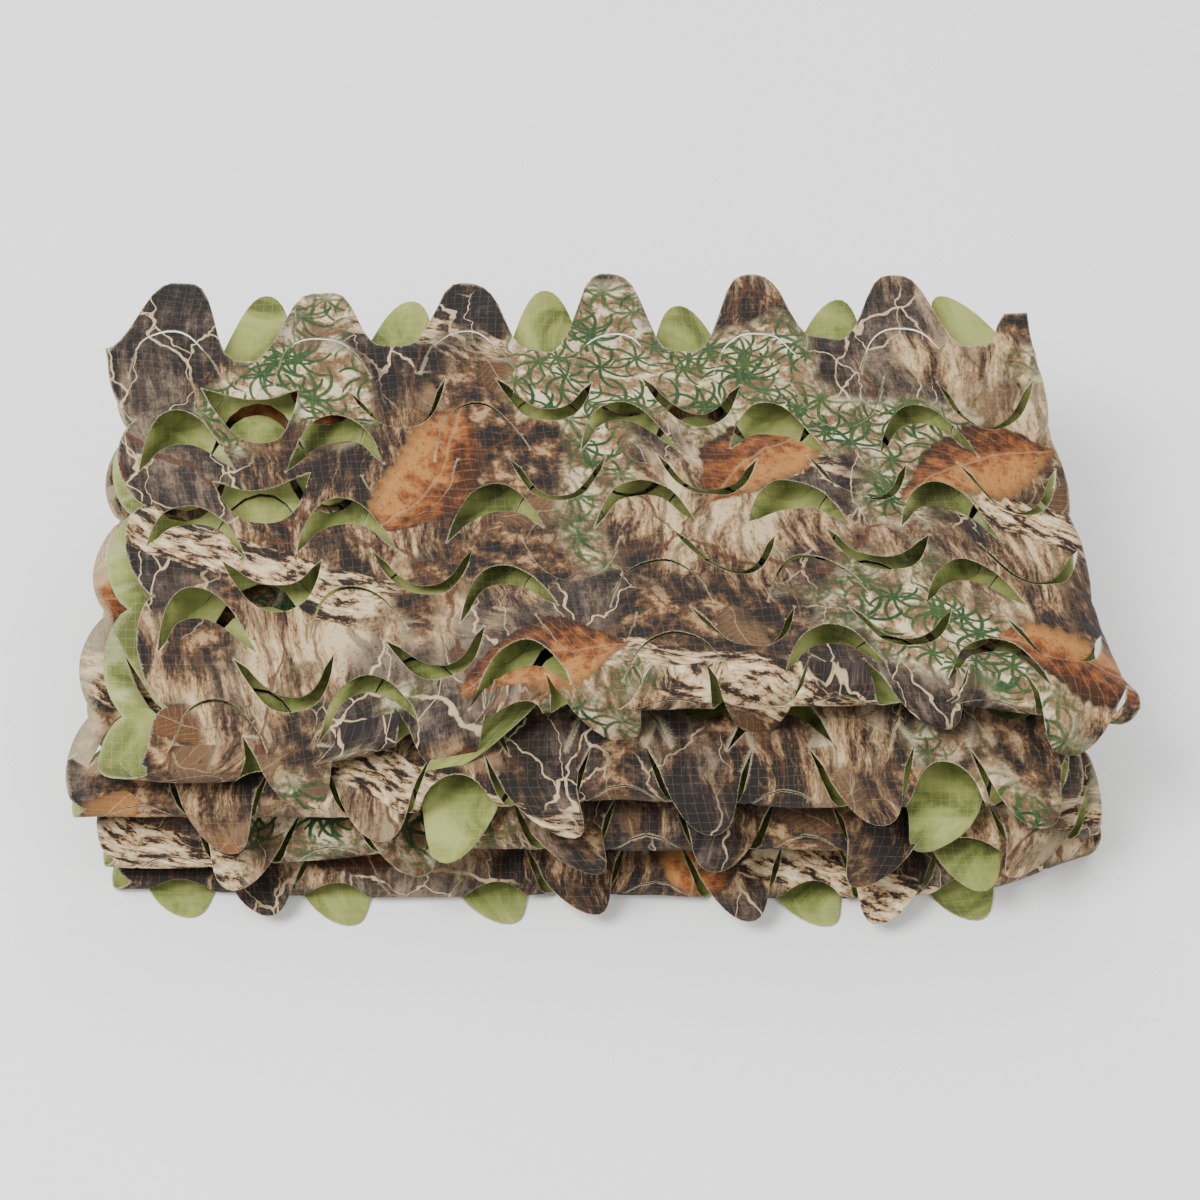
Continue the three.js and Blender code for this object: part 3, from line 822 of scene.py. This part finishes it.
def makeWoodland(leafShapes, twigLines, bladeTufts):
    tree, into, out = newGroup("woodlandPrint", [("Place", "NodeSocketVector", None)],
                               [("Colour", "NodeSocketColor")])
    tones = {name: (*tone, 1.0) for name, tone in woodland.items()}
    spot = into["Place"]
    swirl = noiseAt(tree, spot, 0.014, 3.0, seed=1.0).outputs["Color"]
    bent = vectors(tree, "ADD", spot, vectors(tree, "MULTIPLY", swirl, (24.0, 20.0, 0.0)))
    plates = stretchedNoise(tree, bent, (0.062, 0.02, 0.0), 5.0, 0.66, 0.4, 2.0)
    streaks = stretchedNoise(tree, bent, (0.3, 0.05, 0.0), 4.0, 0.66, 0.0, 3.0)
    grain = stretchedNoise(tree, bent, (0.9, 0.35, 0.0), 3.0, 0.65, 0.0, 4.0)
    wide = noiseAt(tree, spot, 0.009, 2.0, seed=5.0).outputs[0]
    bark = maths(tree, "MULTIPLY_ADD", streaks, 0.28, maths(tree, "MULTIPLY", plates, 0.54))
    bark = maths(tree, "MULTIPLY_ADD", grain, 0.18, bark)
    bark = maths(tree, "MULTIPLY_ADD", wide, 0.5, maths(tree, "SUBTRACT", bark, 0.255))
    colour = ramp(tree, bark, [
        (0.415, woodland["charcoal"]), (0.462, woodland["darkBark"]), (0.507, woodland["midBark"]),
        (0.555, woodland["tan"]), (0.62, woodland["pale"])], True)
    cracks = useGroup(tree, twigLines, Place=vectors(tree, "MULTIPLY", bent, (1.0, 0.5, 1.0)), Cell=23.0,
                      Width=0.075, Seed=2.2)["Mask"]
    colour = blendColours(tree, maths(tree, "MULTIPLY", cracks, 0.55), colour, tones["charcoal"])

    litter = printZone(tree, spot, 0.0105, 0.5, 6.0)
    mottle = noiseAt(tree, spot, 0.075, 6.0, 0.68, 0.0, 7.0).outputs[0]
    litterTone = ramp(tree, mottle, [
        (0.42, woodland["charcoal"]), (0.49, woodland["darkBark"]), (0.56, woodland["leafBrown"]),
        (0.64, woodland["tan"])], True)
    colour = blendColours(tree, litter, colour, litterTone)
    small = useGroup(tree, leafShapes, Place=vectors(tree, "ADD", bent, (311.0, 97.0, 0.0)), Cell=44.0,
                     Length=0.56, Width=0.23, Share=0.8)
    smallTone = ramp(tree, small["Tone"], [
        (0.0, woodland["leafBrown"]), (0.3, woodland["midBark"]), (0.5, woodland["tan"]),
        (0.75, woodland["rustDark"]), (1.0, woodland["ochre"])], True)
    smallTone = blendColours(tree, maths(tree, "MULTIPLY", small["Shade"], 0.7), smallTone, tones["darkBark"])
    smallTone = blendColours(tree, maths(tree, "MULTIPLY", small["Veins"], 0.35), smallTone, tones["pale"])
    smallTone = blendColours(tree, maths(tree, "MULTIPLY", small["Rim"], 0.6), smallTone, tones["charcoal"])
    colour = blendColours(tree, maths(tree, "MULTIPLY", small["Mask"], litter), colour, smallTone)

    shade = printZone(tree, spot, 0.0085, 0.53, 8.0)
    shadeTone = ramp(tree, maths(tree, "MULTIPLY_ADD", bark, 0.6, maths(tree, "MULTIPLY", mottle, 0.4)), [
        (0.44, rgb("1c1817")), (0.52, rgb("38302b")), (0.60, rgb("65564a"))], True)
    colour = blendColours(tree, maths(tree, "MULTIPLY", shade, 0.9), colour, shadeTone)
    for seed, cell, width in ((1.3, 50.0, 0.013), (7.7, 30.0, 0.012)):
        paleTwigs = useGroup(tree, twigLines, Place=spot, Cell=cell, Width=width, Seed=seed)["Mask"]
        shown = maths(tree, "MULTIPLY", paleTwigs, maths(tree, "MULTIPLY", shade, 0.85))
        colour = blendColours(tree, shown, colour, tones["pale"])

    stems = useGroup(tree, twigLines, Place=bent, Cell=84.0, Width=0.013, Seed=4.7)["Mask"]
    colour = blendColours(tree, maths(tree, "MULTIPLY", stems, 0.8), colour, tones["stem"])

    limbPlace = node(tree, "ShaderNodeVectorRotate", rotation_type="Z_AXIS")
    feed(tree, bent, limbPlace.inputs["Vector"])
    limbPlace.inputs["Angle"].default_value = math.radians(-24)
    limbParts = node(tree, "ShaderNodeSeparateXYZ")
    feed(tree, limbPlace.outputs[0], limbParts.inputs[0])
    limbTurn = maths(tree, "FRACT", maths(tree, "MULTIPLY_ADD", limbParts.outputs[1], 1 / 176, 0.32))
    limbRound = maths(tree, "DIVIDE", maths(tree, "SUBTRACT", limbTurn, 0.5), 0.08)
    limbInset = maths(tree, "SUBTRACT", 1.0, maths(tree, "ABSOLUTE", limbRound))
    limb = maths(tree, "MULTIPLY", limbInset, 12.0, clamp=True)
    limbBark = stretchedNoise(tree, limbPlace.outputs[0], (0.07, 0.2, 0.0), 5.0, 0.7, 0.0, 9.0)
    limbEdge = maths(tree, "MULTIPLY", maths(tree, "MULTIPLY", limbRound, limbRound), 0.09)
    limbLight = maths(tree, "SUBTRACT", limbBark, limbEdge)
    limbTone = ramp(tree, limbLight, [
        (0.36, woodland["charcoal"]), (0.42, woodland["darkBark"]), (0.47, woodland["tan"]),
        (0.54, woodland["pale"]), (0.66, woodland["cream"])], True)
    limbShown = printZone(tree, spot, 0.008, 0.41, 12.0)
    colour = blendColours(tree, maths(tree, "MULTIPLY", limb, limbShown), colour, limbTone)

    tuftZone = printZone(tree, spot, 0.008, 0.56, 21.0)
    tuftGround = ramp(tree, mottle, [
        (0.42, woodland["midBark"]), (0.5, woodland["tan"]), (0.58, woodland["cream"])], True)
    colour = blendColours(tree, maths(tree, "MULTIPLY", tuftZone, 0.8), colour, tuftGround)
    for seed, cell in ((0.4, 27.0), (5.2, 36.0), (9.9, 31.0)):
        tuft = useGroup(tree, bladeTufts, Place=spot, Cell=cell, Blades=8.0, Seed=seed)
        paler = maths(tree, "MULTIPLY", tuft["Tone"], 0.6)
        bladeTone = blendColours(tree, paler, tones["green"], tones["moss"])
        colour = blendColours(tree, maths(tree, "MULTIPLY", tuft["Mask"], tuftZone), colour, bladeTone)

    large = useGroup(tree, leafShapes, Place=vectors(tree, "ADD", bent, (75.0, 20.0, 0.0)), Cell=112.0,
                     Length=0.44, Width=0.21, Share=0.36)
    leafGrain = noiseAt(tree, spot, 0.11, 4.0, 0.6, 0.0, 18.0).outputs[0]
    leafLight = maths(tree, "MULTIPLY_ADD", large["Shade"], 0.42, maths(tree, "MULTIPLY", leafGrain, 0.6))
    largeTone = ramp(tree, leafLight, [
        (0.40, woodland["ochre"]), (0.51, woodland["rust"]), (0.64, woodland["rustDark"])], True)
    largeTone = blendColours(tree, maths(tree, "MULTIPLY", large["Veins"], 0.55), largeTone, tones["tan"])
    largeTone = blendColours(tree, maths(tree, "MULTIPLY", large["Rim"], 0.7), largeTone, tones["charcoal"])
    colour = blendColours(tree, large["Mask"], colour, largeTone)
    flecks = noiseAt(tree, spot, 0.42, 5.0, 0.7, 0.0, 23.0).outputs[0]
    pits = maths(tree, "MULTIPLY_ADD", flecks, -14.0, 5.6, clamp=True)
    colour = blendColours(tree, maths(tree, "MULTIPLY", pits, 0.6), colour, tones["charcoal"])
    feed(tree, colour, out["Colour"])
    return tree


# Fine threads of the weave, as a height.
def makeWeave():
    tree, into, out = newGroup("clothWeave", [
        ("Place", "NodeSocketVector", None), ("Thread", "NodeSocketFloat", 0.45),
        ("Ripstop", "NodeSocketFloat", 0.0)],
        [("Height", "NodeSocketFloat")])
    parts = node(tree, "ShaderNodeSeparateXYZ")
    feed(tree, into["Place"], parts.inputs[0])
    turns = maths(tree, "DIVIDE", math.tau, into["Thread"])
    weft = maths(tree, "SINE", maths(tree, "MULTIPLY", parts.outputs[0], turns))
    warp = maths(tree, "SINE", maths(tree, "MULTIPLY", parts.outputs[1], turns))
    threads = maths(tree, "MULTIPLY", weft, warp)
    crumple = noiseAt(tree, into["Place"], 0.09, 4.0, 0.6, 0.4, 30.0).outputs[0]
    height = maths(tree, "MULTIPLY_ADD", threads, 0.03, maths(tree, "MULTIPLY", into["Ripstop"], 0.12))
    feed(tree, maths(tree, "ADD", height, crumple), out["Height"])
    return tree


ripstopGrid = makeRipstop()
leafShapes = makeLeafShapes()
twigLines = makeTwigs()
bladeTufts = makeTufts()
clothWeave = makeWeave()
woodlandPrint = makeWoodland(leafShapes, twigLines, bladeTufts)
print("node groups made")


def newMaterial(name, roughness, sheen):
    material = bpy.data.materials.new(name)
    material.use_nodes = True
    tree = material.node_tree
    shader = tree.nodes["Principled BSDF"]
    shader.inputs["Roughness"].default_value = roughness
    shader.inputs["Sheen Weight"].default_value = sheen
    shader.inputs["Specular IOR Level"].default_value = 0.25
    place = node(tree, "ShaderNodeAttribute", attribute_name="flatPlace").outputs["Vector"]
    fray = node(tree, "ShaderNodeAttribute", attribute_name="fray").outputs["Fac"]
    return material, tree, shader, place, fray


def clothBump(tree, shader, place, grid, strength):
    height = useGroup(tree, clothWeave, Place=place, Ripstop=grid)["Height"]
    bump = node(tree, "ShaderNodeBump")
    bump.inputs["Strength"].default_value = strength
    bump.inputs["Distance"].default_value = 0.0012
    feed(tree, height, bump.inputs["Height"])
    feed(tree, bump.outputs[0], shader.inputs["Normal"])


def frayShare(tree, place, fray):
    ragged = noiseAt(tree, place, 1.1, 2.0, seed=40.0).outputs[0]
    return maths(tree, "MULTIPLY_ADD", maths(tree, "MULTIPLY_ADD", ragged, 0.5, fray), 3.2, -3.0, clamp=True)


def makeCamoSide():
    material, tree, shader, place, fray = newMaterial("camoSide", 0.85, 0.03)
    colour = useGroup(tree, woodlandPrint, Place=place)["Colour"]
    grid = useGroup(tree, ripstopGrid, Place=place)["Mask"]
    colour = blendColours(tree, maths(tree, "MULTIPLY", grid, 0.11), colour, (*woodland["cream"], 1.0))
    colour = blendColours(tree, maths(tree, "MULTIPLY", frayShare(tree, place, fray), 0.4), colour,
                          (*woodland["cream"], 1.0))
    feed(tree, colour, shader.inputs["Base Color"])
    clothBump(tree, shader, place, grid, 0.5)
    return material


olive = {"base": rgb("838a48"), "bright": rgb("9b9e5c"), "dark": rgb("595e2e"), "thread": rgb("bcc28e")}


def makeGreenSide():
    material, tree, shader, place, fray = newMaterial("greenSide", 0.82, 0.05)
    mottle = noiseAt(tree, place, 0.03, 5.0, 0.6, 0.5, 50.0).outputs[0]
    colour = ramp(tree, mottle, [(0.36, olive["dark"]), (0.5, olive["base"]), (0.64, olive["bright"])], True)
    grid = useGroup(tree, ripstopGrid, Place=place)["Mask"]
    colour = blendColours(tree, maths(tree, "MULTIPLY", grid, 0.42), colour, (*olive["thread"], 1.0))
    colour = blendColours(tree, maths(tree, "MULTIPLY", frayShare(tree, place, fray), 0.4), colour,
                          (*olive["thread"], 1.0))
    feed(tree, colour, shader.inputs["Base Color"])
    clothBump(tree, shader, place, grid, 0.5)
    return material


def makeCutEdge():
    material = bpy.data.materials.new("cutEdge")
    material.use_nodes = True
    tree = material.node_tree
    shader = tree.nodes["Principled BSDF"]
    shader.inputs["Roughness"].default_value = 0.9
    place = node(tree, "ShaderNodeAttribute", attribute_name="flatPlace").outputs["Vector"]
    fuzz = noiseAt(tree, place, 1.6, 3.0, 0.6, 0.0, 60.0).outputs[0]
    colour = ramp(tree, fuzz, [(0.38, rgb("5d533d")), (0.5, rgb("8b8163")), (0.62, rgb("beb596"))], True)
    feed(tree, colour, shader.inputs["Base Color"])
    return material


for material in (makeCamoSide(), makeGreenSide(), makeCutEdge()):
    leafCloth.data.materials.append(material)
print("materials made")


# Applies the shell, so that its rim can be shaded flat.
def applyShell(piece):
    bpy.context.view_layer.objects.active = piece
    piece.select_set(True)
    bpy.ops.object.modifier_apply(modifier="shell")
    for face in piece.data.polygons:
        face.use_smooth = face.material_index != 2
    print("cloth wrapped:", len(piece.data.polygons), "faces")


applyShell(leafCloth)
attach(leafCloth, "root")
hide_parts("leaf_cloth")


# The floor and the lights.
def makeFloor():
    mesh = bpy.data.meshes.new("floor")
    reach = 4.0
    mesh.from_pydata([(-reach, -reach, 0), (reach, -reach, 0), (reach, reach, 0), (-reach, reach, 0)], [],
                     [(0, 1, 2, 3)])
    floor = bpy.data.objects.new("floor", mesh)
    floor.location.z = -0.0005
    material = bpy.data.materials.new("floorPaper")
    material.use_nodes = True
    shader = material.node_tree.nodes["Principled BSDF"]
    shader.inputs["Base Color"].default_value = (0.94, 0.94, 0.94, 1.0)
    shader.inputs["Roughness"].default_value = 0.95
    mesh.materials.append(material)
    bpy.context.scene.collection.objects.link(floor)


lights = [
    {"name": "keyLight", "place": (-0.9, -0.5, 1.7), "size": 0.9, "power": 46},
    {"name": "fillLight", "place": (1.2, -1.1, 1.1), "size": 1.4, "power": 13},
    {"name": "backLight", "place": (0.3, 1.4, 1.3), "size": 1.2, "power": 16},
]


def makeLights():
    for row in lights:
        data = bpy.data.lights.new(row["name"], "AREA")
        data.energy = row["power"]
        data.size = row["size"]
        lamp = bpy.data.objects.new(row["name"], data)
        lamp.location = row["place"]
        lamp.rotation_mode = "QUATERNION"
        lamp.rotation_quaternion = Vector(row["place"]).to_track_quat("Z", "Y")
        bpy.context.scene.collection.objects.link(lamp)
    world = bpy.data.worlds.new("studio")
    world.use_nodes = True
    world.node_tree.nodes["Background"].inputs["Color"].default_value = (1.0, 1.0, 1.0, 1.0)
    world.node_tree.nodes["Background"].inputs["Strength"].default_value = 0.8
    bpy.context.scene.world = world


makeFloor()
makeLights()
print("floor and lights made")
